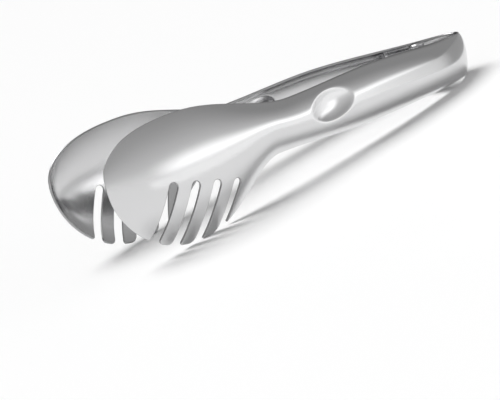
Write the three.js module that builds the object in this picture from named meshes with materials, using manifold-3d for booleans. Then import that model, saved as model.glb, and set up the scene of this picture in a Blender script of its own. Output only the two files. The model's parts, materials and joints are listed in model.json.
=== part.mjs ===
// Spaghetti tongs: two mirrored arms stamped from sheet steel, joined near the
// rear end by a pinned hinge with a torsion spring that holds them open.
// Millimetres. The arms are drawn along a handle axis (X, tip at negative x);
// the whole is then pitched so that it stands on its tines and its rear edge.
import * as THREE from 'three';
import { mergeVertices } from 'three/addons/utils/BufferGeometryUtils.js';
import Module from 'manifold-3d';

const wasm = await Module();
wasm.setup();

// Sheet and clearances
const SHEET = 1.2;
const SEAT_GAP = 0.3;
const SEAM_GAP = 0.6;
const FOOT_FLAT = 0.35;

// Plan of one arm: rim line in the open position, distances from the middle plane
const REAR_X = 1.6;
const BEND_X = -20;
const BEND_HALF_GAP = 15;
const NECK_X = -125;
const NECK_HALF_GAP = 25.2;
const TIP_X = -230;
const TIP_HALF_GAP = 24.8;

// Heights of the rims above and below the handle axis
const REAR_TOP = 8.7;
const REAR_BOTTOM = 12.2;
const REAR_LEAN = 7;
const GRIP_X = -80;
const GRIP_TOP = 13.2;
const GRIP_BOTTOM = 12.4;
const NECK_TOP = 12.2;
const NECK_BOTTOM = 9.8;

// Oval jaw
const JAW_X = -188;
const JAW_TOP = 24.7;
const JAW_BOTTOM = 33;
const TIP_Z = 3.5;

// Depth of the cupped section and how far it wraps round
const REAR_DEPTH = 2.3;
const GRIP_DEPTH = 8;
const NECK_DEPTH = 7;
const JAW_DEPTH = 9;
const GRIP_WRAP = 80;
const JAW_WRAP = 42;

// Thumb dimple on the outside of each handle
const DIMPLE_X = -106.9;
const DIMPLE_Z = 2.7;
const DIMPLE_LENGTH = 25.4;
const DIMPLE_WIDTH = 14.2;
const DIMPLE_TURN = 7;
const DIMPLE_DEPTH = 3.2;
const DIMPLE_EDGE = 0.5;

// Slots that part the tines, open at the lower edge of the jaw
const SLOTS = 4;
const SLOT_WIDTH = 4.2;
const SLOT_LEAN = 31;
const SLOT_FIRST_X = -202;
const SLOT_FIRST_Z = -3;
const SLOT_STEP_X = 11;
const SLOT_STEP_Z = -3;
const TINE_ROUND = 2;

// Hinge: pin, sleeve, leaves with ears, spring
const PIN_X = -23;
const PIN_D = 4;
const PIN_HEAD_D = 7.6;
const PIN_HEAD_H = 3;
const RUN_GAP = 0.3;
const SLEEVE_WALL = 0.9;
const LEAF_SHEET = 1.2;
const LEAF_LENGTH = 13;
const EAR_R = 5.2;
const EAR_Z = 5.2;
const CAP_H = 1.4;
const WIRE_D = 1.2;
const SPRING_TURNS = 5;

const rad = THREE.MathUtils.degToRad;
const smooth = (a, b, x) => THREE.MathUtils.smoothstep(x, a, b);
const mix = THREE.MathUtils.lerp;

// Rim line of one arm in plan, from the seam at the rear to the tip of the jaw
const v2 = (x, y) => new THREE.Vector2(x, y);
const bendSlope = (NECK_HALF_GAP - BEND_HALF_GAP) / (BEND_X - NECK_X) * 2.9;
const rimCurves = [
  new THREE.CubicBezierCurve(
    v2(REAR_X, SEAM_GAP / 2),
    v2(REAR_X, BEND_HALF_GAP * 0.42),
    v2(mix(REAR_X, BEND_X, 0.44), BEND_HALF_GAP + (BEND_X - mix(REAR_X, BEND_X, 0.44)) * bendSlope),
    v2(BEND_X, BEND_HALF_GAP)),
  new THREE.CubicBezierCurve(
    v2(BEND_X, BEND_HALF_GAP),
    v2(mix(BEND_X, NECK_X, 0.24), BEND_HALF_GAP + (BEND_X - mix(BEND_X, NECK_X, 0.24)) * bendSlope),
    v2(mix(BEND_X, NECK_X, 0.62), NECK_HALF_GAP),
    v2(NECK_X, NECK_HALF_GAP)),
  new THREE.CubicBezierCurve(
    v2(NECK_X, NECK_HALF_GAP),
    v2(mix(NECK_X, TIP_X, 0.33), NECK_HALF_GAP),
    v2(mix(NECK_X, TIP_X, 0.7), TIP_HALF_GAP - 1.2),
    v2(TIP_X, TIP_HALF_GAP)),
];

// Upper and lower rim heights along the arm
function rimTop(x) {
  if (x < JAW_X) {
    const t = Math.min(1, (JAW_X - x) / (JAW_X - TIP_X));
    return TIP_Z + (JAW_TOP - TIP_Z) * Math.pow(1 - Math.pow(t, 2.4), 1 / 2.4);
  }
  if (x < NECK_X) {
    const t = Math.pow((x - JAW_X) / (NECK_X - JAW_X), 1.1);
    return mix(JAW_TOP, NECK_TOP, smooth(0, 1, t));
  }
  if (x < GRIP_X) return mix(NECK_TOP, GRIP_TOP, smooth(NECK_X, GRIP_X, x));
  return mix(GRIP_TOP, REAR_TOP, smooth(GRIP_X, REAR_X, x));
}
function rimBottom(x) {
  const low = JAW_X - 4;
  if (x < low) {
    const t = Math.min(1, (low - x) / (low - TIP_X));
    return TIP_Z - (JAW_BOTTOM + TIP_Z) * Math.sqrt(1 - t * t);
  }
  const end = NECK_X - 13;
  if (x < end) {
    const t = Math.pow((x - low) / (end - low), 1.25);
    return -mix(JAW_BOTTOM, NECK_BOTTOM, smooth(0, 1, t));
  }
  if (x < GRIP_X) return -mix(NECK_BOTTOM, GRIP_BOTTOM, smooth(end, GRIP_X, x));
  return -mix(GRIP_BOTTOM, REAR_BOTTOM, smooth(GRIP_X, REAR_X, x));
}
function depth(x) {
  if (x > GRIP_X) return mix(GRIP_DEPTH, REAR_DEPTH, Math.pow(smooth(GRIP_X * 0.55, REAR_X, x), 1.3));
  if (x > NECK_X) return mix(NECK_DEPTH, GRIP_DEPTH, smooth(NECK_X, GRIP_X, x));
  if (x > JAW_X) return mix(JAW_DEPTH, NECK_DEPTH, smooth(JAW_X, NECK_X, x));
  const full = rimTop(JAW_X) - rimBottom(JAW_X);
  return JAW_DEPTH * Math.pow((rimTop(x) - rimBottom(x)) / full, 1.3);
}
const wrap = (x) => rad(mix(JAW_WRAP, GRIP_WRAP, smooth(JAW_X + 20, NECK_X + 10, x)));

// Depth of the dimple at a place seen from the side: a bowl with a softened edge
function dimpleSink(x, z) {
  const turn = rad(DIMPLE_TURN);
  const dx = x - DIMPLE_X;
  const dz = z - DIMPLE_Z;
  const a = (dx * Math.cos(turn) + dz * Math.sin(turn)) / (DIMPLE_LENGTH / 2);
  const b = (dz * Math.cos(turn) - dx * Math.sin(turn)) / (DIMPLE_WIDTH / 2);
  const bowl = DIMPLE_DEPTH * (1 - Math.pow(Math.hypot(a, b), 2.4));
  return (bowl + Math.hypot(bowl, DIMPLE_EDGE)) / 2;
}

// Middle of the sheet at curve c, place t along it and v across it (-1 low, 1 high)
function sheetPoint(c, t, v) {
  const p = rimCurves[c].getPoint(t);
  const tan = rimCurves[c].getTangent(t);
  const out = c === 0 && t === 0 ? v2(1, 0) : v2(-tan.y, tan.x).multiplyScalar(-1);
  const top = rimTop(p.x);
  const low = rimBottom(p.x);
  const w = wrap(p.x);
  const z = (top + low) / 2 + (top - low) / 2 * Math.sin(v * w) / Math.sin(w);
  const lift = depth(p.x) * (Math.cos(v * w) - Math.cos(w)) / (1 - Math.cos(w));
  const rise = lift - dimpleSink(p.x, z);
  const lean = z * Math.tan(rad(REAR_LEAN)) * smooth(BEND_X, REAR_X, p.x);
  return new THREE.Vector3(p.x + lean, p.y, z).addScaledVector(new THREE.Vector3(out.x, out.y, 0), rise);
}
function sheetNormal(c, t, v) {
  const e = 1e-3;
  const t0 = Math.max(0, t - e);
  const t1 = Math.min(1, t + e);
  const along = sheetPoint(c, t1, v).sub(sheetPoint(c, t0, v));
  const across = sheetPoint(c, t, Math.min(1, v + e)).sub(sheetPoint(c, t, Math.max(-1, v - e)));
  const n = along.cross(across).normalize();
  if (c === 0 && t === 0) n.setY(0).normalize();
  return n;
}
const offsetPoint = (c, t, v, off) => sheetPoint(c, t, v).addScaledVector(sheetNormal(c, t, v), off);

// Place on the rim line at a given x, and the share across the sheet at a given height
function placeAt(x) {
  const c = x > BEND_X ? 0 : x > NECK_X ? 1 : 2;
  let a = 0;
  let b = 1;
  for (let k = 0; k < 40; k++) {
    const m = (a + b) / 2;
    if (rimCurves[c].getPoint(m).x > x) a = m;
    else b = m;
  }
  return [c, (a + b) / 2];
}
function shareAt(x, z) {
  const half = (rimTop(x) - rimBottom(x)) / 2;
  const mid = (rimTop(x) + rimBottom(x)) / 2;
  return Math.asin((z - mid) / half * Math.sin(wrap(x))) / wrap(x);
}

// Closed sheet body over a grid of places, between two offsets from the middle
function sheetGeometry(places, cross, outer, inner) {
  const pos = [];
  const idx = [];
  const n = cross.length;
  const m = places.length;
  for (const off of [outer, inner]) {
    for (const [c, t] of places) {
      for (const v of cross) pos.push(...offsetPoint(c, t, v, off).toArray());
    }
  }
  const at = (k, i, j) => k * m * n + i * n + j;
  const quad = (a, b, c, d) => idx.push(a, c, b, a, d, c);
  for (let i = 0; i < m - 1; i++) {
    for (let j = 0; j < n - 1; j++) {
      quad(at(0, i, j), at(0, i, j + 1), at(0, i + 1, j + 1), at(0, i + 1, j));
      quad(at(1, i, j), at(1, i + 1, j), at(1, i + 1, j + 1), at(1, i, j + 1));
    }
    quad(at(0, i, 0), at(0, i + 1, 0), at(1, i + 1, 0), at(1, i, 0));
    quad(at(0, i, n - 1), at(1, i, n - 1), at(1, i + 1, n - 1), at(0, i + 1, n - 1));
  }
  for (let j = 0; j < n - 1; j++) {
    quad(at(0, 0, j), at(1, 0, j), at(1, 0, j + 1), at(0, 0, j + 1));
    quad(at(0, m - 1, j), at(0, m - 1, j + 1), at(1, m - 1, j + 1), at(1, m - 1, j));
  }
  const g = new THREE.BufferGeometry();
  g.setAttribute('position', new THREE.Float32BufferAttribute(pos, 3));
  g.setIndex(idx);
  return g;
}

// Solids for joining and cutting
function toSolid(geometry) {
  let g = geometry.clone();
  g.deleteAttribute('normal');
  g.deleteAttribute('uv');
  g = mergeVertices(g, 1e-4);
  return new wasm.Manifold(new wasm.Mesh({
    numProp: 3,
    vertProperties: new Float32Array(g.attributes.position.array),
    triVerts: new Uint32Array(g.index.array),
  }));
}
function toGeometry(solid) {
  const mesh = solid.getMesh();
  const g = new THREE.BufferGeometry();
  g.setAttribute('position', new THREE.BufferAttribute(mesh.vertProperties, 3));
  g.setIndex(new THREE.BufferAttribute(mesh.triVerts, 1));
  return g;
}
function mirrored(geometry) {
  const g = geometry.clone();
  const p = g.attributes.position;
  for (let i = 0; i < p.count; i++) p.setY(i, -p.getY(i));
  const a = g.index.array;
  for (let i = 0; i < a.length; i += 3) [a[i + 1], a[i + 2]] = [a[i + 2], a[i + 1]];
  return g;
}

// Arm blank: rows close together at the rear bend, the dimple and the tip
const rows = [];
for (let i = 0; i < 8; i++) rows.push([0, i / 8]);
const nearDimple = placeAt(DIMPLE_X + DIMPLE_LENGTH * 0.65)[1];
for (let i = 0; i < 12; i++) rows.push([1, nearDimple * i / 12]);
for (let i = 0; i < 20; i++) rows.push([1, mix(nearDimple, 1, i / 20)]);
const JAW_ROWS = 20;
for (let i = 0; i <= JAW_ROWS; i++) rows.push([2, (1 - Math.pow(1 - i / JAW_ROWS, 1.8)) * 0.996]);
const CROSS = 18;
const cross = Array.from({ length: CROSS + 1 }, (_, j) => {
  const u = -1 + 2 * j / CROSS;
  return u * (0.75 + 0.25 * u * u);
});
const blank = sheetGeometry(rows, cross, SHEET / 2, -SHEET / 2);

// Slot cutter: a round-topped slot, leaning, through the sheet and past its lower edge.
// Its mouth is flared where it leaves the sheet, so that the corners of the tines are round.
function slotCutter(i) {
  const r = SLOT_WIDTH / 2;
  const crown = v2(SLOT_FIRST_X + i * SLOT_STEP_X, SLOT_FIRST_Z + i * SLOT_STEP_Z - r);
  const seen = (u, w) => v2(u, w).rotateAround(v2(0, 0), -rad(SLOT_LEAN)).add(crown);
  const local = (q) => q.clone().sub(crown).rotateAround(v2(0, 0), rad(SLOT_LEAN));
  const flare = (side) => {
    let w = 0;
    while (seen(side * r, w).y > rimBottom(seen(side * r, w).x)) w -= 0.05;
    const corner = seen(side * r, w);
    const step = side * 0.05;
    const slope = (rimBottom(corner.x + step) - rimBottom(corner.x)) / step;
    const away = v2(side, side * slope).normalize();
    const up = seen(side * r, w + 1).sub(corner).normalize();
    const round = TINE_ROUND * (1 - up.dot(away));
    return [v2(side * r, w + round), v2(side * r, w), local(corner.clone().addScaledVector(away, round))];
  };
  const [leftTop, leftCorner, leftOut] = flare(-1);
  const [rightTop, rightCorner, rightOut] = flare(1);
  const below = -JAW_BOTTOM * 1.6;
  const s = new THREE.Shape();
  s.moveTo(leftTop.x, leftTop.y);
  s.lineTo(-r, 0);
  s.absarc(0, 0, r, Math.PI, 0, true);
  s.lineTo(rightTop.x, rightTop.y);
  s.quadraticCurveTo(rightCorner.x, rightCorner.y, rightOut.x, rightOut.y);
  s.lineTo(r, below);
  s.lineTo(-r, below);
  s.lineTo(leftOut.x, leftOut.y);
  s.quadraticCurveTo(leftCorner.x, leftCorner.y, leftTop.x, leftTop.y);
  const g = new THREE.ExtrudeGeometry(s, { depth: 60, bevelEnabled: false, curveSegments: 6 });
  g.rotateX(Math.PI / 2);
  g.rotateY(rad(SLOT_LEAN));
  g.translate(crown.x, TIP_HALF_GAP + 30, crown.y);
  return g;
}

// Floor plane under the pitched tongs: the tines and the rear edge stand on it
const PITCH = Math.atan2(JAW_BOTTOM - REAR_BOTTOM, REAR_X - (JAW_X - 4));
function floorLevel(geometry) {
  const p = geometry.attributes.position;
  let low = Infinity;
  for (let i = 0; i < p.count; i++) {
    low = Math.min(low, p.getZ(i) * Math.cos(PITCH) - p.getX(i) * Math.sin(PITCH));
  }
  return low + FOOT_FLAT;
}
const FLOOR = floorLevel(blank);
function floorCutter() {
  const size = 3 * (REAR_X - TIP_X);
  const g = new THREE.BoxGeometry(size, size, size);
  g.translate(0, 0, FLOOR - size / 2);
  g.rotateY(-PITCH);
  return g;
}

let armSolid = toSolid(blank).subtract(toSolid(floorCutter()));
for (let i = 0; i < SLOTS; i++) armSolid = armSolid.subtract(toSolid(slotCutter(i)));
const leftArm = toGeometry(armSolid);

// Hinge leaf: a web that lies along the inside of the arm, with two ears round the pin
const LEAF_OUT = -SHEET / 2 - SEAT_GAP;
const INNER_EAR = EAR_Z;
const OUTER_EAR = EAR_Z + LEAF_SHEET + RUN_GAP;
const HOLE_R = PIN_D / 2 + RUN_GAP;
function leafGeometry(ear) {
  const reach = OUTER_EAR + LEAF_SHEET + 0.4;
  const places = [];
  for (let i = 0; i <= 6; i++) places.push(placeAt(PIN_X + LEAF_LENGTH * (0.5 - i / 6)));
  const low = shareAt(PIN_X, -reach);
  const high = shareAt(PIN_X, reach);
  const across = Array.from({ length: 9 }, (_, j) => mix(low, high, j / 8));
  let solid = toSolid(sheetGeometry(places, across, LEAF_OUT, LEAF_OUT - LEAF_SHEET));
  for (const z of [ear, -ear - LEAF_SHEET]) {
    const s = new THREE.Shape();
    const mid = z + LEAF_SHEET / 2;
    s.moveTo(PIN_X - EAR_R, 0);
    s.absarc(PIN_X, 0, EAR_R, Math.PI, 2 * Math.PI, false);
    for (let i = 0; i <= 4; i++) {
      const x = PIN_X + LEAF_LENGTH * 0.4 * (1 - i / 2);
      const q = offsetPoint(...placeAt(x), shareAt(x, mid), LEAF_OUT - LEAF_SHEET * 0.85);
      s.lineTo(q.x, q.y);
    }
    s.closePath();
    const hole = new THREE.Path();
    hole.absarc(PIN_X, 0, HOLE_R, 0, 2 * Math.PI, true);
    s.holes.push(hole);
    const g = new THREE.ExtrudeGeometry(s, { depth: LEAF_SHEET, bevelEnabled: false, curveSegments: 12 });
    g.translate(0, 0, z);
    solid = solid.add(toSolid(g));
  }
  return toGeometry(solid);
}

// Turned pieces on the pin axis
function turned(points, sides) {
  const g = new THREE.LatheGeometry(points.map(([r, z]) => v2(r, z)), sides);
  g.rotateX(Math.PI / 2);
  g.translate(PIN_X, 0, 0);
  return g;
}
const headLow = OUTER_EAR + LEAF_SHEET + RUN_GAP;
const pinEnd = -headLow - CAP_H - RUN_GAP;
const pin = turned([
  [0, pinEnd], [PIN_D / 2, pinEnd], [PIN_D / 2, headLow],
  [PIN_HEAD_D / 2, headLow], [PIN_HEAD_D / 2, headLow + PIN_HEAD_H * 0.6],
  [PIN_HEAD_D * 0.38, headLow + PIN_HEAD_H * 0.9], [0, headLow + PIN_HEAD_H],
], 24);
const cap = turned([
  [HOLE_R, -headLow - CAP_H], [PIN_HEAD_D / 2 - 0.4, -headLow - CAP_H],
  [PIN_HEAD_D / 2, -headLow - CAP_H + 0.4], [PIN_HEAD_D / 2, -headLow],
  [HOLE_R, -headLow], [HOLE_R, -headLow - CAP_H],
], 24);
const sleeveR = HOLE_R + SLEEVE_WALL;
const sleeveEnd = INNER_EAR - RUN_GAP;
const sleeve = turned([
  [HOLE_R, -sleeveEnd], [sleeveR, -sleeveEnd], [sleeveR, sleeveEnd],
  [HOLE_R, sleeveEnd], [HOLE_R, -sleeveEnd],
], 24);

// Torsion spring: a coil round the sleeve, with a leg bearing on each leaf
function springGeometry() {
  const coilR = sleeveR + RUN_GAP + WIRE_D / 2;
  const rise = Math.min(WIRE_D + 0.6, (2 * sleeveEnd - WIRE_D) / (SPRING_TURNS + 0.4));
  const half = rise * (SPRING_TURNS - 0.07) / 2;
  const legX = PIN_X - LEAF_LENGTH * 0.4;
  const bear = LEAF_OUT - LEAF_SHEET - SEAT_GAP - WIRE_D / 2;
  const legEnd = (z) => offsetPoint(...placeAt(legX), shareAt(legX, z), bear);
  const start = legEnd(-half);
  const stop = legEnd(half);
  stop.y = -stop.y;
  const touch = (q, side) => {
    const dx = q.x - PIN_X;
    const dist = Math.hypot(dx, q.y);
    return Math.atan2(q.y, dx) + side * Math.acos(coilR / dist);
  };
  const a0 = touch(start, 1);
  let a1 = touch(stop, -1);
  while (a1 < a0 + 2 * Math.PI * (SPRING_TURNS - 1)) a1 += 2 * Math.PI;
  const steps = Math.round(8 * (a1 - a0) / (2 * Math.PI));
  const pts = [start];
  for (let i = 0; i <= steps; i++) {
    const a = mix(a0, a1, i / steps);
    pts.push(new THREE.Vector3(PIN_X + coilR * Math.cos(a), coilR * Math.sin(a), mix(-half, half, i / steps)));
  }
  pts.push(stop);
  const pos = [];
  const idx = [];
  const S = 5;
  const up = new THREE.Vector3(0, 0, 1);
  pts.forEach((p, i) => {
    const dir = pts[Math.min(i + 1, pts.length - 1)].clone().sub(pts[Math.max(i - 1, 0)]).normalize();
    const b = up.clone().addScaledVector(dir, -up.dot(dir)).normalize();
    const n = new THREE.Vector3().crossVectors(b, dir);
    for (let k = 0; k < S; k++) {
      const a = 2 * Math.PI * k / S;
      const q = p.clone().addScaledVector(n, Math.cos(a) * WIRE_D / 2).addScaledVector(b, Math.sin(a) * WIRE_D / 2);
      pos.push(q.x, q.y, q.z);
    }
  });
  const m = pts.length;
  for (let i = 0; i < m - 1; i++) {
    for (let k = 0; k < S; k++) {
      const l = (k + 1) % S;
      idx.push(i * S + k, i * S + l, (i + 1) * S + l, i * S + k, (i + 1) * S + l, (i + 1) * S + k);
    }
  }
  for (let k = 1; k < S - 1; k++) {
    idx.push(0, k + 1, k);
    idx.push((m - 1) * S, (m - 1) * S + k, (m - 1) * S + k + 1);
  }
  const g = new THREE.BufferGeometry();
  g.setAttribute('position', new THREE.Float32BufferAttribute(pos, 3));
  g.setIndex(idx);
  return g;
}

// Assembly
const polished = () => new THREE.MeshStandardMaterial({ color: 0xc9cacc, metalness: 1, roughness: 0.22 });
const spun = () => new THREE.MeshStandardMaterial({ color: 0xb9babd, metalness: 1, roughness: 0.35 });
const drawn = () => new THREE.MeshStandardMaterial({ color: 0x8f9093, metalness: 1, roughness: 0.4 });
const tongs = new THREE.Group();
function piece(name, geometry, material) {
  const m = new THREE.Mesh(geometry, material);
  m.name = name;
  tongs.add(m);
}
piece('arm_left', leftArm, polished());
piece('arm_right', mirrored(leftArm), polished());
piece('hinge_leaf_left', leafGeometry(INNER_EAR), spun());
piece('hinge_leaf_right', mirrored(leafGeometry(OUTER_EAR)), spun());
piece('hinge_pin', pin, spun());
piece('pin_cap', cap, spun());
piece('pin_sleeve', sleeve, spun());
piece('torsion_spring', springGeometry(), drawn());

// Pitch on to the floor, with the origin under the middle of the length
tongs.rotation.y = PITCH;
tongs.updateMatrixWorld(true);
const box = new THREE.Box3().setFromObject(tongs, true);
tongs.position.set(-(box.min.x + box.max.x) / 2, 0, -FLOOR);
const root = new THREE.Group();
root.add(tongs);

export default root;
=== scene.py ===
# Spaghetti tongs in polished steel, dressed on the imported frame.
import json
import math

import bmesh
import bpy
import numpy as np
from mathutils import Matrix, Vector
from mathutils.bvhtree import BVHTree
from mathutils.geometry import delaunay_2d_cdt
from mathutils.kdtree import KDTree


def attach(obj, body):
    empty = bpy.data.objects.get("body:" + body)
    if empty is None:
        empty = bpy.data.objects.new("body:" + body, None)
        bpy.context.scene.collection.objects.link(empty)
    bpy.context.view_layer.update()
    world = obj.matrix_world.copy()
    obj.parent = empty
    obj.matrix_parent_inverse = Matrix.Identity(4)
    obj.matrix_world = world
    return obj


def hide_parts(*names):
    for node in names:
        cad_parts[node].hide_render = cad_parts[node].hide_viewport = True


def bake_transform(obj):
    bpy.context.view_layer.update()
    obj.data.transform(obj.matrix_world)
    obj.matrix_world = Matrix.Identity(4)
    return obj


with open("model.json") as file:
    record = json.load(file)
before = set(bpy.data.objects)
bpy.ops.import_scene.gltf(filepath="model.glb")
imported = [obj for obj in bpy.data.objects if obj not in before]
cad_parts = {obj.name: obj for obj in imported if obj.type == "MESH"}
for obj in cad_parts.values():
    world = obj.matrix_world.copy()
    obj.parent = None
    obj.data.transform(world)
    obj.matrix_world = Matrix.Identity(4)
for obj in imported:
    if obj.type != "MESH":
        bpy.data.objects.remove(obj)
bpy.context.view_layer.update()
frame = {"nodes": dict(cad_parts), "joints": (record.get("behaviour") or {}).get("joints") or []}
MM = 0.001

# Camera: low from the front left, turned so that the handle rises to the right.
# The picture is 500 by 400; the lens is long, from about 0.8 m away.
CAMERA_AT = Vector((-0.45337, -0.68072, 0.18806))
CAMERA_AIM = Vector((-0.03508, 0.0, -0.00227))
CAMERA_ROLL = math.radians(21.732)
FOCAL_PIXELS = 1745.45
PICTURE_WIDTH = 500
camera_data = bpy.data.cameras.new("photo_camera")
camera_data.sensor_width = 36.0
camera_data.lens = FOCAL_PIXELS * camera_data.sensor_width / PICTURE_WIDTH
camera_data.clip_start = 0.01
camera_data.clip_end = 50.0
camera = bpy.data.objects.new("photo_camera", camera_data)
bpy.context.scene.collection.objects.link(camera)
sight = (CAMERA_AIM - CAMERA_AT).normalized()
level_right = sight.cross(Vector((0, 0, 1))).normalized()
level_up = level_right.cross(sight)
right = math.cos(CAMERA_ROLL) * level_right - math.sin(CAMERA_ROLL) * level_up
up = math.sin(CAMERA_ROLL) * level_right + math.cos(CAMERA_ROLL) * level_up
turn = Matrix((right, up, -sight)).transposed().to_4x4()
camera.matrix_world = Matrix.Translation(CAMERA_AT) @ turn
bpy.context.scene.camera = camera

# Polish: what a buffing wheel leaves on sheet steel, long faint lines along the
# handle and a soft cloudiness. One node group serves every steel in the tongs.


def polish_group():
    tree = bpy.data.node_groups.new("buffed_surface", "ShaderNodeTree")
    face = tree.interface
    face.new_socket("Line Scale", in_out="INPUT", socket_type="NodeSocketFloat").default_value = 400.0
    face.new_socket("Base Roughness", in_out="INPUT", socket_type="NodeSocketFloat").default_value = 0.2
    face.new_socket("Roughness Spread", in_out="INPUT", socket_type="NodeSocketFloat").default_value = 0.05
    face.new_socket("Roughness", in_out="OUTPUT", socket_type="NodeSocketFloat")
    face.new_socket("Height", in_out="OUTPUT", socket_type="NodeSocketFloat")
    add = tree.nodes.new
    link = tree.links.new
    entry = add("NodeGroupInput")
    leave = add("NodeGroupOutput")
    place = add("ShaderNodeTexCoord")
    stretch = add("ShaderNodeMapping")
    stretch.inputs["Scale"].default_value = (0.06, 1.0, 1.0)
    lines = add("ShaderNodeTexNoise")
    lines.inputs["Detail"].default_value = 3.0
    cloud = add("ShaderNodeTexNoise")
    cloud.inputs["Scale"].default_value = 38.0
    cloud.inputs["Detail"].default_value = 2.0
    both = add("ShaderNodeMath")
    both.operation = "MULTIPLY_ADD"
    both.inputs[1].default_value = 0.6
    centre = add("ShaderNodeMath")
    centre.operation = "SUBTRACT"
    centre.inputs[1].default_value = 0.8
    scaled = add("ShaderNodeMath")
    scaled.operation = "MULTIPLY_ADD"
    link(place.outputs["Object"], stretch.inputs["Vector"])
    link(stretch.outputs["Vector"], lines.inputs["Vector"])
    link(entry.outputs["Line Scale"], lines.inputs["Scale"])
    link(place.outputs["Object"], cloud.inputs["Vector"])
    link(lines.outputs["Fac"], both.inputs[0])
    link(cloud.outputs["Fac"], both.inputs[2])
    link(both.outputs[0], centre.inputs[0])
    link(centre.outputs[0], scaled.inputs[0])
    link(entry.outputs["Roughness Spread"], scaled.inputs[1])
    link(entry.outputs["Base Roughness"], scaled.inputs[2])
    link(scaled.outputs[0], leave.inputs["Roughness"])
    link(lines.outputs["Fac"], leave.inputs["Height"])
    return tree


BUFFED = polish_group()


def steel(name, colour, roughness, spread, line_scale, bump):
    material = bpy.data.materials.new(name)
    material.use_nodes = True
    tree = material.node_tree
    shader = tree.nodes["Principled BSDF"]
    shader.inputs["Base Color"].default_value = (*colour, 1.0)
    shader.inputs["Metallic"].default_value = 1.0
    buffed = tree.nodes.new("ShaderNodeGroup")
    buffed.node_tree = BUFFED
    buffed.inputs["Line Scale"].default_value = line_scale
    buffed.inputs["Base Roughness"].default_value = roughness
    buffed.inputs["Roughness Spread"].default_value = spread
    relief = tree.nodes.new("ShaderNodeBump")
    relief.inputs["Strength"].default_value = bump
    relief.inputs["Distance"].default_value = 0.00005
    tree.links.new(buffed.outputs["Roughness"], shader.inputs["Roughness"])
    tree.links.new(buffed.outputs["Height"], relief.inputs["Height"])
    tree.links.new(relief.outputs["Normal"], shader.inputs["Normal"])
    return material


# Arms: each is one stamping in 1.2 mm sheet, an oval jaw with four slots open
# below, a neck, and a cupped handle with a thumb dimple that bends in at the rear.
# The edges of the sheet are tumbled round.
ARM_STEEL = steel("arm_steel", (0.66, 0.66, 0.665), 0.17, 0.05, 420.0, 0.03)
# The sheet's cut edges get a darker, rougher steel. The rougher finish is the real cut. The darker colour
# is partly the cut's dull grey and partly painted shade, standing in for the dark reflections along the
# edges.
CUT_AND_SHADED_EDGE_STEEL = steel("cut_and_shaded_edge_steel", (0.4, 0.4, 0.405), 0.3, 0.08, 900.0, 0.05)
SHEET = 1.2
EDGE_ROUND = 0.35
SEAM_GAP = 0.6
REAR_X, BEND_X, NECK_X, TIP_X = 1.6, -20.0, -125.0, -230.0
BEND_HALF_GAP, NECK_HALF_GAP, TIP_HALF_GAP = 15.0, 25.2, 24.8
GRIP_X, JAW_X, TIP_Z = -80.0, -188.0, 3.5
REAR_TOP, GRIP_TOP, NECK_TOP, JAW_TOP = 8.7, 13.2, 12.2, 24.7
REAR_BOTTOM, GRIP_BOTTOM, NECK_BOTTOM, JAW_BOTTOM = 12.2, 12.4, 9.8, 33.0
REAR_DEPTH, GRIP_DEPTH, NECK_DEPTH, JAW_DEPTH = 2.3, 8.0, 7.0, 9.0
REAR_LEAN = math.radians(7.0)
GRIP_WRAP, JAW_WRAP = 80.0, 42.0
DIMPLE_X, DIMPLE_Z, DIMPLE_TURN = -106.9, 2.7, math.radians(7.0)
DIMPLE_LENGTH, DIMPLE_WIDTH, DIMPLE_DEPTH, DIMPLE_EDGE = 25.4, 14.2, 3.2, 0.5
SLOTS, SLOT_WIDTH, SLOT_LEAN = 4, 4.2, math.radians(31.0)
SLOT_FIRST, SLOT_STEP = (-202.0, -3.0), (11.0, -3.0)
TINE_ROUND = 2.0
PIN_X = -23.0
GRAIN = 1.0
EDGE_STEP = 0.6


def mix(a, b, t):
    return a + (b - a) * t


def smooth(a, b, x):
    t = np.clip((x - a) / (b - a), 0.0, 1.0)
    return t * t * (3.0 - 2.0 * t)


def bezier(points, t):
    p = np.array(points, float)
    t = t[:, None]
    u = 1 - t
    return u ** 3 * p[0] + 3 * u ** 2 * t * p[1] + 3 * u * t ** 2 * p[2] + t ** 3 * p[3]


# Rim line in plan, from the seam to the tip, as a table by length along it
bend_slope = (NECK_HALF_GAP - BEND_HALF_GAP) / (BEND_X - NECK_X) * 2.9
bend_mid = mix(REAR_X, BEND_X, 0.44)
grip_mid = mix(BEND_X, NECK_X, 0.24)
RIM_CURVES = (
    ((REAR_X, SEAM_GAP / 2), (REAR_X, BEND_HALF_GAP * 0.42),
     (bend_mid, BEND_HALF_GAP + (BEND_X - bend_mid) * bend_slope), (BEND_X, BEND_HALF_GAP)),
    ((BEND_X, BEND_HALF_GAP), (grip_mid, BEND_HALF_GAP + (BEND_X - grip_mid) * bend_slope),
     (mix(BEND_X, NECK_X, 0.62), NECK_HALF_GAP), (NECK_X, NECK_HALF_GAP)),
    ((NECK_X, NECK_HALF_GAP), (mix(NECK_X, TIP_X, 0.33), NECK_HALF_GAP),
     (mix(NECK_X, TIP_X, 0.7), TIP_HALF_GAP - 1.2), (TIP_X, TIP_HALF_GAP)),
)
sweep = np.linspace(0.0, 1.0, 1500)
RIM = np.vstack([bezier(c, sweep if i == 0 else sweep[1:]) for i, c in enumerate(RIM_CURVES)])
RIM_AT = np.r_[0.0, np.cumsum(np.hypot(*np.diff(RIM, axis=0).T))]
RIM_DIR = np.gradient(RIM, RIM_AT, axis=0)
RIM_DIR /= np.linalg.norm(RIM_DIR, axis=1)[:, None]
RIM_DIR[0] = (0.0, 1.0)
ARM_RUN = RIM_AT[-1] - 0.05


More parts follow.
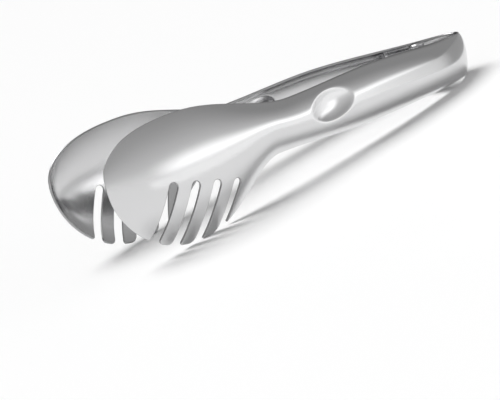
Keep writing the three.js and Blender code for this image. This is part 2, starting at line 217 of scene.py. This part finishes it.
def rim_top(x):
    t = np.clip((JAW_X - x) / (JAW_X - TIP_X), 0.0, 1.0)
    front = TIP_Z + (JAW_TOP - TIP_Z) * (1 - t ** 2.4) ** (1 / 2.4)
    rise = np.clip((x - JAW_X) / (NECK_X - JAW_X), 0.0, 1.0) ** 1.1
    jaw = mix(JAW_TOP, NECK_TOP, smooth(0, 1, rise))
    grip = mix(NECK_TOP, GRIP_TOP, smooth(NECK_X, GRIP_X, x))
    rear = mix(GRIP_TOP, REAR_TOP, smooth(GRIP_X, REAR_X, x))
    return np.select([x < JAW_X, x < NECK_X, x < GRIP_X], [front, jaw, grip], rear)


def rim_bottom(x):
    low, end = JAW_X - 4, NECK_X - 13
    t = np.clip((low - x) / (low - TIP_X), 0.0, 1.0)
    front = TIP_Z - (JAW_BOTTOM + TIP_Z) * np.sqrt(1 - t * t)
    rise = np.clip((x - low) / (end - low), 0.0, 1.0) ** 1.25
    jaw = -mix(JAW_BOTTOM, NECK_BOTTOM, smooth(0, 1, rise))
    grip = -mix(NECK_BOTTOM, GRIP_BOTTOM, smooth(end, GRIP_X, x))
    rear = -mix(GRIP_BOTTOM, REAR_BOTTOM, smooth(GRIP_X, REAR_X, x))
    return np.select([x < low, x < end, x < GRIP_X], [front, jaw, grip], rear)


def cup_depth(x):
    rear = mix(GRIP_DEPTH, REAR_DEPTH, smooth(GRIP_X * 0.55, REAR_X, x) ** 1.3)
    grip = mix(NECK_DEPTH, GRIP_DEPTH, smooth(NECK_X, GRIP_X, x))
    jaw = mix(JAW_DEPTH, NECK_DEPTH, smooth(JAW_X, NECK_X, x))
    middle = np.array([JAW_X])
    full = (rim_top(middle) - rim_bottom(middle))[0]
    front = JAW_DEPTH * (np.maximum(rim_top(x) - rim_bottom(x), 0.0) / full) ** 1.3
    return np.select([x > GRIP_X, x > NECK_X, x > JAW_X], [rear, grip, jaw], front)


def cup_wrap(x):
    return np.radians(mix(JAW_WRAP, GRIP_WRAP, smooth(JAW_X + 20, NECK_X + 10, x)))


def rear_lean(x, z):
    return z * math.tan(REAR_LEAN) * smooth(BEND_X, REAR_X, x)


def dimple_sink(x, z):
    dx, dz = x - DIMPLE_X, z - DIMPLE_Z
    a = (dx * math.cos(DIMPLE_TURN) + dz * math.sin(DIMPLE_TURN)) / (DIMPLE_LENGTH / 2)
    b = (dz * math.cos(DIMPLE_TURN) - dx * math.sin(DIMPLE_TURN)) / (DIMPLE_WIDTH / 2)
    bowl = DIMPLE_DEPTH * (1 - np.hypot(a, b) ** 2.4)
    return (bowl + np.hypot(bowl, DIMPLE_EDGE)) / 2


def sheet_point(run, share):
    x = np.interp(run, RIM_AT, RIM[:, 0])
    y = np.interp(run, RIM_AT, RIM[:, 1])
    dx = np.interp(run, RIM_AT, RIM_DIR[:, 0])
    dy = np.interp(run, RIM_AT, RIM_DIR[:, 1])
    top, low, wrap = rim_top(x), rim_bottom(x), cup_wrap(x)
    z = (top + low) / 2 + (top - low) / 2 * np.sin(share * wrap) / np.sin(wrap)
    lift = cup_depth(x) * (np.cos(share * wrap) - np.cos(wrap)) / (1 - np.cos(wrap))
    lift = lift - dimple_sink(x, z)
    return np.stack([x + rear_lean(x, z) + dy * lift, y - dx * lift, z], -1)


def sheet_normal(run, share):
    e, s = 0.02, 0.002
    ahead, behind = np.minimum(run + e, RIM_AT[-1]), np.maximum(run - e, 0)
    above, below = np.minimum(share + s, 1), np.maximum(share - s, -1)
    along = sheet_point(ahead, share) - sheet_point(behind, share)
    across = sheet_point(run, above) - sheet_point(run, below)
    n = np.cross(along, across)
    return n / np.linalg.norm(n, axis=1)[:, None]


# Half the girth of the sheet by length along it: the flat width of the blank
run_table = np.linspace(0.0, RIM_AT[-1], 700)
share_table = np.linspace(-1.0, 1.0, 41)
girth = np.zeros(len(run_table))
across_table = [sheet_point(run_table, np.full_like(run_table, share)) for share in share_table]
for near, far in zip(across_table[:-1], across_table[1:]):
    girth += np.linalg.norm(far - near, axis=1) / 2
girth = np.maximum(girth, 0.8)


def flat_place(x, z):
    """Place on the flat blank of the sheet point that is seen at x, z from the side."""
    back = RIM[::-1, 0]
    px = np.array(x, float)
    for _ in range(6):
        run = np.interp(px, back, RIM_AT[::-1])
        q = np.interp(run, RIM_AT, RIM[:, 0])
        top, low, wrap = rim_top(q), rim_bottom(q), cup_wrap(q)
        rise = (z - (top + low) / 2) / np.maximum((top - low) / 2, 1e-6) * np.sin(wrap)
        share = np.arcsin(np.clip(rise, -np.sin(wrap), np.sin(wrap))) / wrap
        px = px + (x - sheet_point(run, share)[:, 0])
    return np.stack([run, share * np.interp(run, run_table, girth)], -1)


def resample(points, step):
    points = np.asarray(points, float)
    at = np.r_[0.0, np.cumsum(np.linalg.norm(np.diff(points, axis=0), axis=1))]
    n = max(2, int(round(at[-1] / step)) + 1)
    want = np.linspace(0.0, at[-1], n)
    return np.stack([np.interp(want, at, points[:, k]) for k in range(points.shape[1])], -1)


def trimmed(points, start, end):
    points = np.asarray(points, float)
    at = np.r_[0.0, np.cumsum(np.linalg.norm(np.diff(points, axis=0), axis=1))]
    want = np.linspace(start, at[-1] - end, max(2, int(at[-1] / 0.15)))
    return np.stack([np.interp(want, at, points[:, k]) for k in range(2)], -1)


def lower_edge():
    """Side view of the lower edge from tip to rear, up and down each slot."""
    r = SLOT_WIDTH / 2
    down = np.array([-math.sin(SLOT_LEAN), -math.cos(SLOT_LEAN)])
    side = np.array([math.cos(SLOT_LEAN), -math.sin(SLOT_LEAN)])
    xs = np.interp(np.linspace(ARM_RUN, 0.0, 3000), RIM_AT, RIM[:, 0])
    zs = rim_bottom(xs)
    outline = np.stack([xs + rear_lean(xs, zs), zs], -1)
    runs = []
    begin = TIP_X - 1
    for i in range(SLOTS):
        crown = np.array(SLOT_FIRST) + i * np.array(SLOT_STEP) - np.array([0.0, r])
        mouths = []
        for sign in (-1, 1):
            reach = np.linspace(0.0, 60.0, 6001)
            line = crown + sign * r * side + reach[:, None] * down
            out = np.argmax(line[:, 1] < rim_bottom(line[:, 0]))
            mouths.append(line[out])
        runs.append(outline[(outline[:, 0] > begin) & (outline[:, 0] < mouths[0][0])])
        runs.append(np.array([mouths[0], crown - r * side]))
        sweep_up = np.linspace(math.pi, 0.0, 25)
        arc = [crown + r * (math.cos(a) * side - math.sin(a) * down) for a in sweep_up]
        runs.append(np.array(arc))
        runs.append(np.array([crown + r * side, mouths[1]]))
        begin = mouths[1][0]
    runs.append(outline[outline[:, 0] > begin])
    parts = []
    cut_before = 0.0
    for k, part in enumerate(runs):
        corner = k % 4 == 0 and k < len(runs) - 1 or k % 4 == 3
        cut_after = 0.0
        if corner:
            back = part[-2] - part[-1]
            ahead = runs[k + 1][1] - runs[k + 1][0]
            cosine = back @ ahead / (np.linalg.norm(back) * np.linalg.norm(ahead))
            cut_after = TINE_ROUND * (1 - cosine)
        parts.append(trimmed(part, cut_before, cut_after))
        if corner:
            a, c, b = parts[-1][-1], part[-1], trimmed(runs[k + 1], cut_after, 0.0)[0]
            t = np.linspace(0.0, 1.0, 9)[1:-1, None]
            parts.append((1 - t) ** 2 * a + 2 * t * (1 - t) * c + t * t * b)
        cut_before = cut_after
    return np.vstack(parts)


def arm_mesh(name, mirror):
    lower = flat_place(*lower_edge().T)
    run = np.linspace(0.0, ARM_RUN, 900)
    half = np.interp(run, run_table, girth)
    upper = np.stack([run, half], -1)
    loop = np.vstack([
        resample(upper, EDGE_STEP)[:-1],
        resample([upper[-1], lower[0]], EDGE_STEP)[:-1],
        resample(lower, EDGE_STEP)[:-1],
        resample([lower[-1], upper[0]], EDGE_STEP)[:-1],
    ])
    keep = np.linalg.norm(loop - np.roll(loop, 1, axis=0), axis=1) > 0.05
    loop = loop[keep]
    along = np.roll(loop, -1, axis=0) - np.roll(loop, 1, axis=0)
    inward = np.stack([-along[:, 1], along[:, 0]], -1) / np.linalg.norm(along, axis=1)[:, None]
    middle_run = np.argmax(loop[:, 1])
    if inward[middle_run, 1] > 0:
        inward = -inward
    ahead = np.roll(loop, -1, axis=0) - loop
    loop = loop + EDGE_ROUND * inward
    folded = np.flatnonzero(((np.roll(loop, -1, axis=0) - loop) * ahead).sum(1) < 0)
    loop[folded] = (loop[folded] + loop[folded + 1]) / 2
    loop = np.delete(loop, folded + 1, axis=0)
    edge_tree = KDTree(len(loop))
    for i, p in enumerate(loop):
        edge_tree.insert((p[0], p[1], 0.0), i)
    edge_tree.balance()
    row_step = GRAIN * 0.87
    rows = np.arange(loop[:, 1].min(), loop[:, 1].max(), row_step)
    grid = []
    for k, eta in enumerate(rows):
        xi = np.arange(0.0, RIM_AT[-1], GRAIN) + (0.5 * GRAIN if k % 2 else 0.0)
        grid.append(np.stack([xi, np.full_like(xi, eta)], -1))
    grid = np.vstack(grid)
    flat_dimple = flat_place(np.array([DIMPLE_X]), np.array([DIMPLE_Z]))[0]
    off = np.abs(grid - flat_dimple)
    close = grid[(off[:, 0] < DIMPLE_LENGTH * 0.62) & (off[:, 1] < DIMPLE_WIDTH * 0.75)]
    shifts = ((GRAIN / 2, 0.0), (GRAIN / 4, row_step / 2), (-GRAIN / 4, row_step / 2))
    grid = np.vstack([grid, *(close + shift for shift in shifts)])
    a, b = loop, np.roll(loop, -1, axis=0)
    inside = np.zeros(len(grid), bool)
    for (ax, ay), (bx, by) in zip(a, b):
        crosses = (ay > grid[:, 1]) != (by > grid[:, 1])
        if ay != by:
            inside ^= crosses & (grid[:, 0] < (bx - ax) * (grid[:, 1] - ay) / (by - ay) + ax)
    grid = grid[inside]
    far = [edge_tree.find((p[0], p[1], 0.0))[2] > 0.6 * GRAIN for p in grid]
    places = np.vstack([loop, grid[far]])
    n_loop = len(loop)
    ring = [(i, (i + 1) % n_loop) for i in range(n_loop)]
    found = delaunay_2d_cdt([Vector(p) for p in places], ring, [], 1, 1e-6)
    flat = np.array([tuple(v) for v in found[0]])
    triangles = [tuple(f) for f in found[2]]
    came_from = {old: new for new, olds in enumerate(found[3]) for old in olds}
    share = np.clip(flat[:, 1] / np.interp(flat[:, 0], run_table, girth), -1.0, 1.0)
    middle = sheet_point(flat[:, 0], share)
    normal = sheet_normal(flat[:, 0], share)
    rim_ids = np.array([came_from[i] for i in range(n_loop)])
    rim_mid, rim_normal = middle[rim_ids], normal[rim_ids]
    tangent = np.roll(rim_mid, -1, axis=0) - np.roll(rim_mid, 1, axis=0)
    outward = np.cross(tangent, rim_normal)
    outward /= np.linalg.norm(outward, axis=1)[:, None]
    tip = np.argmin(rim_mid[:, 0])
    if outward[tip, 0] > 0:
        outward = -outward
    count = len(middle)
    coords = [middle + normal * SHEET / 2, middle - normal * SHEET / 2]
    normals = [normal, -normal]
    first = triangles[0]
    facing = np.cross(middle[first[1]] - middle[first[0]], middle[first[2]] - middle[first[0]])
    flip = np.dot(facing, normal[first[0]]) < 0
    faces = []
    for t in triangles:
        t = t[::-1] if flip else t
        faces.append(t)
        faces.append(tuple(i + count for i in t[::-1]))
    steps = 6
    rows_at = [rim_ids]
    for k in range(1, steps):
        a = math.pi / 2 - math.pi * k / steps
        up_share, out_share = math.sin(a), math.cos(a)
        coords.append(rim_mid + rim_normal * SHEET / 2 * up_share + outward * EDGE_ROUND * out_share)
        n = rim_normal * up_share * EDGE_ROUND + outward * out_share * SHEET / 2
        normals.append(n / np.linalg.norm(n, axis=1)[:, None])
        rows_at.append(2 * count + (k - 1) * n_loop + np.arange(n_loop))
    rows_at.append(rim_ids + count)
    around = np.cross(np.roll(rim_mid, -1, axis=0)[tip] - rim_mid[tip], outward[tip])
    turn_over = np.dot(around, rim_normal[tip]) < 0
    for upper_row, lower_row in zip(rows_at[:-1], rows_at[1:]):
        for i in range(n_loop):
            j = (i + 1) % n_loop
            quad = (int(upper_row[i]), int(upper_row[j]), int(lower_row[j]), int(lower_row[i]))
            faces.append(quad[::-1] if turn_over else quad)
    coords = np.vstack(coords)
    normals = np.vstack(normals)
    if mirror:
        coords[:, 1] *= -1
        normals[:, 1] *= -1
        faces = [f[::-1] for f in faces]
    coords = coords @ STAND_TURN.T * MM + STAND_AT
    normals = normals @ STAND_TURN.T
    coords[:, 2] = np.maximum(coords[:, 2], 0.0)
    mesh = bpy.data.meshes.new(name)
    mesh.from_pydata(coords.tolist(), [], faces)
    mesh.materials.append(ARM_STEEL)
    # Second material, on the rounded edge strips: darker steel, partly painted shade for the dark edge
    # reflections.
    mesh.materials.append(CUT_AND_SHADED_EDGE_STEEL)
    sides = [0] * (2 * len(triangles)) + [1] * (len(faces) - 2 * len(triangles))
    mesh.polygons.foreach_set("material_index", sides)
    mesh.polygons.foreach_set("use_smooth", [True] * len(mesh.polygons))
    mesh.normals_split_custom_set_from_vertices(normals.tolist())
    mesh.update()
    return mesh


# The tongs stand pitched on their tines: the hinge axis in the frame says how far
squeeze = frame["joints"][0]
axis = -Vector(squeeze["axis"])
pitch = math.atan2(axis.x, axis.z)
STAND_TURN = np.array([
    [math.cos(pitch), 0.0, math.sin(pitch)],
    [0.0, 1.0, 0.0],
    [-math.sin(pitch), 0.0, math.cos(pitch)]])
STAND_AT = np.array(squeeze["pos_m"]) - STAND_TURN @ np.array([PIN_X, 0.0, 0.0]) * MM


def piece(name, mesh, material, body, slot, *nodes):
    thing = bpy.data.objects.new(name, mesh)
    bpy.context.scene.collection.objects.link(thing)
    if not mesh.materials:
        mesh.materials.append(material)
    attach(thing, body)
    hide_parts(*nodes)
    return thing


left_arm = arm_mesh("left_arm_sheet", False)
right_arm = arm_mesh("right_arm_sheet", True)
piece("left_arm_sheet", left_arm, ARM_STEEL, "left_arm", "arm_steel", "arm_left")
piece("right_arm_sheet", right_arm, ARM_STEEL, "right_arm", "arm_steel", "arm_right")

# Hinge leaves: blanked from the same sheet, each a web seated along the inside of
# its arm with two ears round the pin. The cut edges are broken with a small bevel.
HINGE_STEEL = steel("hinge_steel", (0.66, 0.66, 0.67), 0.26, 0.08, 900.0, 0.05)
LEAF_BEVEL = 0.18
SEAT_GAP = 0.3
FLAT_WITHIN, SHARP_BEYOND = math.radians(1), math.radians(38)


def seated_leaf(node, arm):
    """Copy of a leaf with its web brought up against its arm and its edges broken."""
    seat = BVHTree.FromPolygons([v.co for v in arm.vertices], [p.vertices for p in arm.polygons])
    form = bmesh.new()
    form.from_mesh(frame["nodes"][node].data)
    bmesh.ops.remove_doubles(form, verts=form.verts, dist=0.00001)
    for vert in form.verts:
        touch, _, _, gap = seat.find_nearest(vert.co)
        if gap < 1.5 * SEAT_GAP * MM:
            vert.co = touch.lerp(vert.co, 0.1)
    form.normal_update()
    bmesh.ops.dissolve_limit(form, angle_limit=FLAT_WITHIN, verts=form.verts[:], edges=form.edges[:],
                             use_dissolve_boundaries=False)
    form.normal_update()
    outer = [e for e in form.edges if e.is_convex and e.calc_face_angle(0.0) > SHARP_BEYOND]
    bmesh.ops.bevel(form, geom=outer, offset=LEAF_BEVEL * MM, offset_type="OFFSET", segments=2,
                    profile=0.5, affect="EDGES", clamp_overlap=True)
    mesh = bpy.data.meshes.new(node + "_dressed")
    form.to_mesh(mesh)
    form.free()
    mesh.shade_smooth()
    mesh.set_sharp_from_angle(angle=math.radians(50))
    return mesh


left_leaf = seated_leaf("hinge_leaf_left", left_arm)
right_leaf = seated_leaf("hinge_leaf_right", right_arm)
piece("left_leaf", left_leaf, HINGE_STEEL, "left_arm", "hinge_steel", "hinge_leaf_left")
piece("right_leaf", right_leaf, HINGE_STEEL, "right_arm", "hinge_steel", "hinge_leaf_right")

# Pin, cap and sleeve: turned pieces on the hinge axis. The pin has a domed head on
# top, runs through ears and sleeve, and is held below by a pressed cap.
PIN_R, HEAD_R, HEAD_H = 2.0, 3.8, 3.0
RUN_GAP, LEAF_SHEET, EAR_Z, CAP_H, SLEEVE_WALL = 0.3, 1.2, 5.2, 1.4, 0.9
HOLE_R = PIN_R + RUN_GAP
HEAD_LOW = EAR_Z + 2 * (LEAF_SHEET + RUN_GAP)
SLEEVE_R, SLEEVE_END = HOLE_R + SLEEVE_WALL, EAR_Z - RUN_GAP
LATHE_SIDES = 64


def turned(name, profile, closed):
    """Solid of revolution about the hinge axis from points of radius and height."""
    coords, faces = [], []
    for r, z in profile:
        for k in range(LATHE_SIDES):
            a = 2 * math.pi * k / LATHE_SIDES
            coords.append((PIN_X + r * math.cos(a), r * math.sin(a), z))
    rings = len(profile)
    for i in range(rings if closed else rings - 1):
        here, above = i * LATHE_SIDES, (i + 1) % rings * LATHE_SIDES
        for k in range(LATHE_SIDES):
            following = (k + 1) % LATHE_SIDES
            faces.append((here + k, here + following, above + following, above + k))
    if not closed:
        faces.append(tuple(reversed(range(LATHE_SIDES))))
        faces.append(tuple((rings - 1) * LATHE_SIDES + k for k in range(LATHE_SIDES)))
    coords = np.array(coords) @ STAND_TURN.T * MM + STAND_AT
    mesh = bpy.data.meshes.new(name)
    mesh.from_pydata(coords.tolist(), [], faces)
    mesh.update()
    mesh.shade_smooth()
    mesh.set_sharp_from_angle(angle=math.radians(40))
    return mesh


def corner(r, z, radius, start, steps=4):
    """Quarter round of a turned profile about r, z, counted from the start angle."""
    sweep = [math.radians(start + 90.0 * k / steps) for k in range(steps + 1)]
    return [(r + radius * math.cos(a), z + radius * math.sin(a)) for a in sweep]


pin_end = -HEAD_LOW - CAP_H - RUN_GAP
dome = [(HEAD_R * math.sin(a), HEAD_LOW + HEAD_H * (0.55 + 0.45 * math.cos(a)))
        for a in np.linspace(math.pi / 2, 0.04, 14)]
pin_profile = [
    (0.02, pin_end), *corner(PIN_R - 0.3, pin_end + 0.3, 0.3, -90), (PIN_R, HEAD_LOW),
    *corner(HEAD_R - 0.2, HEAD_LOW + 0.2, 0.2, -90), *dome]
pin = turned("pin", pin_profile, False)
piece("pin", pin, HINGE_STEEL, "left_arm", "hinge_steel", "hinge_pin")
cap_profile = [
    *corner(HOLE_R + 0.15, -HEAD_LOW - CAP_H + 0.15, 0.15, 180),
    *corner(HEAD_R - 0.5, -HEAD_LOW - CAP_H + 0.5, 0.5, 270, 6),
    *corner(HEAD_R - 0.15, -HEAD_LOW - 0.15, 0.15, 0),
    (HOLE_R, -HEAD_LOW)]
cap = turned("cap", cap_profile, True)
piece("cap", cap, HINGE_STEEL, "left_arm", "hinge_steel", "pin_cap")
sleeve_profile = [
    (HOLE_R, -SLEEVE_END), *corner(SLEEVE_R - 0.2, -SLEEVE_END + 0.2, 0.2, 270),
    *corner(SLEEVE_R - 0.2, SLEEVE_END - 0.2, 0.2, 0), (HOLE_R, SLEEVE_END)]
sleeve = turned("sleeve", sleeve_profile, True)
piece("sleeve", sleeve, HINGE_STEEL, "left_arm", "hinge_steel", "pin_sleeve")

# Torsion spring: round drawn wire coiled on the sleeve, one leg bearing on each leaf.
# The wire is swept along its path by geometry nodes.
SPRING_STEEL = steel("spring_wire", (0.5, 0.5, 0.52), 0.3, 0.08, 1400.0, 0.04)
WIRE_R, SPRING_TURNS, LEAF_LENGTH = 0.6, 5, 13.0
WIRE_SIDES, STEPS_PER_TURN = 14, 40
coil_rise = min(2 * WIRE_R + 0.6, (2 * SLEEVE_END - 2 * WIRE_R) / (SPRING_TURNS + 0.4))
COIL_HALF = coil_rise * (SPRING_TURNS - 0.07) / 2


def spring_path():
    coil_r = SLEEVE_R + RUN_GAP + WIRE_R
    leg_x = PIN_X - LEAF_LENGTH * 0.4
    bear = -SHEET / 2 - 2 * SEAT_GAP - LEAF_SHEET - WIRE_R
    ends = []
    for z in (-COIL_HALF, COIL_HALF):
        run = np.interp([leg_x], RIM[::-1, 0], RIM_AT[::-1])
        x = np.array([leg_x])
        middle, reach = (rim_top(x) + rim_bottom(x)) / 2, (rim_top(x) - rim_bottom(x)) / 2
        share = np.arcsin((z - middle) / reach * np.sin(cup_wrap(x))) / cup_wrap(x)
        ends.append((sheet_point(run, share) + bear * sheet_normal(run, share))[0])
    ends[1][1] = -ends[1][1]
    angles = []
    for end, side in zip(ends, (1, -1)):
        dx = end[0] - PIN_X
        angles.append(math.atan2(end[1], dx) + side * math.acos(coil_r / math.hypot(dx, end[1])))
    while angles[1] < angles[0] + 2 * math.pi * (SPRING_TURNS - 1):
        angles[1] += 2 * math.pi
    steps = round(STEPS_PER_TURN * (angles[1] - angles[0]) / (2 * math.pi))
    share = np.linspace(0.0, 1.0, steps + 1)
    turn_at = mix(angles[0], angles[1], share)
    height = mix(-COIL_HALF, COIL_HALF, share)
    coil = np.stack([PIN_X + coil_r * np.cos(turn_at), coil_r * np.sin(turn_at), height], -1)
    return np.vstack([ends[0], coil, ends[1]])


def wire_tree():
    tree = bpy.data.node_groups.new("wire_along_path", "GeometryNodeTree")
    face = tree.interface
    face.new_socket("Geometry", in_out="INPUT", socket_type="NodeSocketGeometry")
    face.new_socket("Wire Radius", in_out="INPUT", socket_type="NodeSocketFloat")
    face.new_socket("Sides", in_out="INPUT", socket_type="NodeSocketInt")
    face.new_socket("Material", in_out="INPUT", socket_type="NodeSocketMaterial")
    face.new_socket("Geometry", in_out="OUTPUT", socket_type="NodeSocketGeometry")
    add = tree.nodes.new
    link = tree.links.new
    entry = add("NodeGroupInput")
    leave = add("NodeGroupOutput")
    path = add("GeometryNodeMeshToCurve")
    ring = add("GeometryNodeCurvePrimitiveCircle")
    sweep_wire = add("GeometryNodeCurveToMesh")
    sweep_wire.inputs["Fill Caps"].default_value = True
    soft = add("GeometryNodeSetShadeSmooth")
    solid = add("GeometryNodeRealizeInstances")
    paint = add("GeometryNodeSetMaterial")
    link(entry.outputs["Geometry"], path.inputs["Mesh"])
    link(path.outputs["Curve"], sweep_wire.inputs["Curve"])
    link(entry.outputs["Sides"], ring.inputs["Resolution"])
    link(entry.outputs["Wire Radius"], ring.inputs["Radius"])
    link(ring.outputs["Curve"], sweep_wire.inputs["Profile Curve"])
    link(sweep_wire.outputs["Mesh"], soft.inputs["Geometry"])
    link(soft.outputs["Geometry"], solid.inputs["Geometry"])
    link(solid.outputs["Geometry"], paint.inputs["Geometry"])
    link(entry.outputs["Material"], paint.inputs["Material"])
    link(paint.outputs["Geometry"], leave.inputs["Geometry"])
    return tree


path_points = spring_path() @ STAND_TURN.T * MM + STAND_AT
path_links = [(i, i + 1) for i in range(len(path_points) - 1)]
path_mesh = bpy.data.meshes.new("spring_path")
path_mesh.from_pydata(path_points.tolist(), path_links, [])
path_thing = bpy.data.objects.new("spring_path", path_mesh)
bpy.context.scene.collection.objects.link(path_thing)
wire = path_thing.modifiers.new("wire", "NODES")
wire.node_group = wire_tree()
wire_items = wire.node_group.interface.items_tree
sockets = {item.name: item.identifier for item in wire_items if item.in_out == "INPUT"}
wire[sockets["Wire Radius"]] = WIRE_R * MM
wire[sockets["Sides"]] = WIRE_SIDES
wire[sockets["Material"]] = SPRING_STEEL
swept = path_thing.evaluated_get(bpy.context.evaluated_depsgraph_get())
spring_mesh = bpy.data.meshes.new_from_object(swept)
spring_mesh.name = "spring"
path_thing.modifiers.remove(wire)
bpy.data.objects.remove(path_thing)
spring = bpy.data.objects.new("spring", spring_mesh)
bpy.context.scene.collection.objects.link(spring)
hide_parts("torsion_spring")
twist_reach = COIL_HALF - WIRE_R
twist_ends = np.array([[PIN_X, 0.0, -twist_reach], [PIN_X, 0.0, twist_reach]])
twist_ends = twist_ends @ STAND_TURN.T * MM + STAND_AT
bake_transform(spring)

# Floor: a pale matt sheet that runs out of sight, just under the tines.
FLOOR_COLOUR, FLOOR_HALF, FLOOR_DROP = (0.95, 0.95, 0.95, 1.0), 8.0, 0.0002
floor_corners = [(x * FLOOR_HALF, y * FLOOR_HALF, 0.0) for x, y in ((-1, -1), (1, -1), (1, 1), (-1, 1))]
floor_mesh = bpy.data.meshes.new("floor")
floor_mesh.from_pydata(floor_corners, [], [(0, 1, 2, 3)])
floor = bpy.data.objects.new("floor", floor_mesh)
bpy.context.scene.collection.objects.link(floor)
floor.location.z = -FLOOR_DROP
floor_paint = bpy.data.materials.new("floor_paint")
floor_paint.use_nodes = True
floor_shader = floor_paint.node_tree.nodes["Principled BSDF"]
floor_shader.inputs["Base Color"].default_value = FLOOR_COLOUR
floor_shader.inputs["Roughness"].default_value = 0.9
floor_mesh.materials.append(floor_paint)

# Strip: a low glowing card on the right, a hidden light seen only as a reflection in the steel.
# It glows white at the front, where the handles mirror it, and dim grey towards the rear end.
STRIP_FOOT = (Vector((-0.062, -0.220, 0.0)), Vector((0.228, 0.070, 0.0)))
STRIP_HEIGHT = 0.026
STRIP_SHADES = ((0.45, 1.15), (0.62, 0.75), (0.68, 0.3))
strip_up = Vector((0, 0, STRIP_HEIGHT))
strip_corners = [*STRIP_FOOT, STRIP_FOOT[1] + strip_up, STRIP_FOOT[0] + strip_up]
strip_mesh = bpy.data.meshes.new("strip")
strip_mesh.from_pydata(strip_corners, [], [(0, 1, 2, 3)])
strip = bpy.data.objects.new("strip", strip_mesh)
bpy.context.scene.collection.objects.link(strip)
strip_glow = bpy.data.materials.new("strip_glow")
strip_glow.use_nodes = True
strip_tree = strip_glow.node_tree
strip_shader = strip_tree.nodes["Principled BSDF"]
strip_shader.inputs["Base Color"].default_value = (0.1, 0.1, 0.1, 1.0)
strip_shader.inputs["Roughness"].default_value = 0.9
strip_shader.inputs["Emission Strength"].default_value = 1.0
strip_place = strip_tree.nodes.new("ShaderNodeTexCoord")
strip_split = strip_tree.nodes.new("ShaderNodeSeparateXYZ")
strip_share = strip_tree.nodes.new("ShaderNodeMapRange")
strip_share.inputs["From Min"].default_value = STRIP_FOOT[0].x
strip_share.inputs["From Max"].default_value = STRIP_FOOT[1].x
strip_ramp = strip_tree.nodes.new("ShaderNodeValToRGB")
strip_ramp.color_ramp.elements.new(0.5)
for stop, (position, shade) in zip(strip_ramp.color_ramp.elements, STRIP_SHADES):
    stop.position = position
    stop.color = (shade, shade, shade, 1.0)
strip_tree.links.new(strip_place.outputs["Object"], strip_split.inputs["Vector"])
strip_tree.links.new(strip_split.outputs["X"], strip_share.inputs["Value"])
strip_tree.links.new(strip_share.outputs["Result"], strip_ramp.inputs["Fac"])
# Painted glow: the ramp drives the card's emitted light, bright at the front and dim grey towards the
# rear.
strip_tree.links.new(strip_ramp.outputs["Color"], strip_shader.inputs["Emission Color"])
strip_mesh.materials.append(strip_glow)
strip.visible_camera = False
strip.visible_diffuse = False
strip.visible_shadow = False

# World: bright low on the camera's side, brightest in a window to the right, and dark
# behind, so that the rounded steel runs from light to grey.
FRONT_AT, FRONT_LEVEL = -101.0, 0.62
WINDOW_AT, WINDOW_LEVEL = -44.0, 0.9
BACK_AT, SIDE_LEVEL, BACK_DROP = 95.0, 0.33, 0.29
world = bpy.data.worlds.new("studio")
bpy.context.scene.world = world
world.use_nodes = True
sky = world.node_tree
backdrop = sky.nodes["Background"]
where = sky.nodes.new("ShaderNodeTexCoord")


def toward(azimuth, low, high):
    """1 in directions near the azimuth, 0 away from it, by the cosine between them."""
    a = math.radians(azimuth)
    dot = sky.nodes.new("ShaderNodeVectorMath")
    dot.operation = "DOT_PRODUCT"
    dot.inputs[1].default_value = (math.cos(a), math.sin(a), 0.0)
    sky.links.new(where.outputs["Generated"], dot.inputs[0])
    return eased(dot.outputs["Value"], low, high)


def eased(value, low, high):
    step = sky.nodes.new("ShaderNodeMapRange")
    step.interpolation_type = "SMOOTHSTEP"
    step.inputs["From Min"].default_value = low
    step.inputs["From Max"].default_value = high
    sky.links.new(value, step.inputs["Value"])
    return step.outputs["Result"]


def combine(operation, a, b, c=None):
    node = sky.nodes.new("ShaderNodeMath")
    node.operation = operation
    for socket, value in zip(node.inputs, (a, b, c)):
        if isinstance(value, (int, float)):
            socket.default_value = value
        elif value is not None:
            sky.links.new(value, socket)
    return node.outputs["Value"]


split = sky.nodes.new("ShaderNodeSeparateXYZ")
sky.links.new(where.outputs["Generated"], split.inputs["Vector"])
height = split.outputs["Z"]
front_fade = combine("MULTIPLY_ADD", eased(height, 0.1, 0.75), -0.7, 1.0)
front = combine("MULTIPLY", toward(FRONT_AT, 0.0, 0.75), front_fade)
low_fade = combine("MULTIPLY_ADD", eased(height, 0.0, 0.24), -0.35, 1.0)
front = combine("MULTIPLY", front, low_fade)
window = combine("MULTIPLY", toward(WINDOW_AT, 0.85, 0.97), eased(height, 0.26, 0.08))
back = combine("MULTIPLY_ADD", toward(BACK_AT, 0.2, 0.8), -BACK_DROP, SIDE_LEVEL)
base = combine("MULTIPLY_ADD", front, FRONT_LEVEL, back)
level = combine("MULTIPLY_ADD", window, WINDOW_LEVEL, base)
sky.links.new(level, backdrop.inputs["Strength"])
backdrop.inputs["Color"].default_value = (1.0, 1.0, 1.0, 1.0)

# Lamp: one broad soft lamp from above and behind, which lays the shadow on the floor.
LAMP_FROM, LAMP_LEVEL, LAMP_SPREAD = Vector((-0.25, 0.36, 1.0)), 2.5, math.radians(44)
lamp_data = bpy.data.lights.new("soft_lamp", "SUN")
lamp_data.energy = LAMP_LEVEL
lamp_data.angle = LAMP_SPREAD
lamp = bpy.data.objects.new("soft_lamp", lamp_data)
bpy.context.scene.collection.objects.link(lamp)
lamp.rotation_euler = LAMP_FROM.to_track_quat("Z", "Y").to_euler()

bpy.context.scene.view_settings.view_transform = "Standard"
